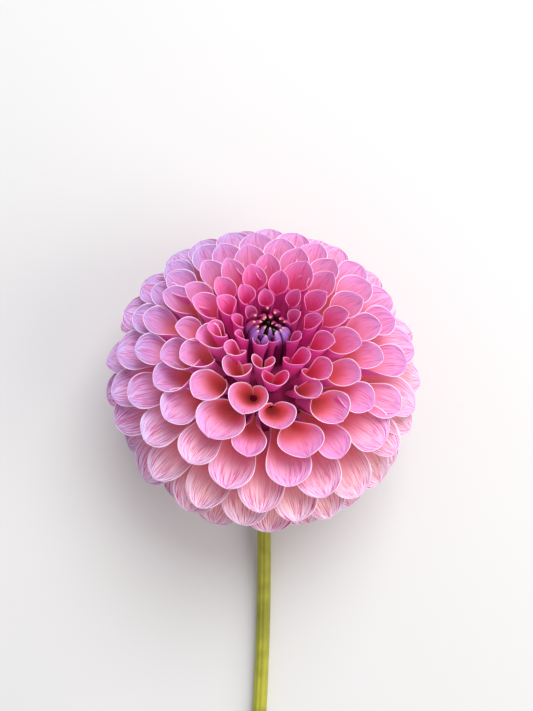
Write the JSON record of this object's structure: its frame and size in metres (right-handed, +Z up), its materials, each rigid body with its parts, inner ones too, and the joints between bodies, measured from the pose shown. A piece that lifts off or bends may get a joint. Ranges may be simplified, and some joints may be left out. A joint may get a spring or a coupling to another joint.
{
  "type": "dahlia flower",
  "caption": "Cut ball dahlia lying on its back: spiral of cupped florets round a heart of closed buds, calyx with bracts and a bent stem.",
  "frame": {"origin": "middle of the flower's outline seen from above, on the surface it lies on", "axes": "+Z up from the surface, +Y along the stem from its cut end to the bloom, +X to the right of the bloom; the bloom faces up and 30 degrees towards +Y"},
  "size_m": [0.0996, 0.1978, 0.0809],
  "materials": {
    "ray_petal": "fresh petal, soft satin, coral pink inside and lilac pink at the tip",
    "heart_bud": "closed buds, purple violet with pale orange tips, satin",
    "calyx_green": "fresh green leaf, satin",
    "stem_green": "yellow green stem, smooth satin, fine lengthwise ribs"
  },
  "bodies": {
    "root": {"ray_florets": "ray_petal", "heart_florets": "heart_bud", "calyx": "calyx_green", "stem": "stem_green"}
  },
  "joints": []
}
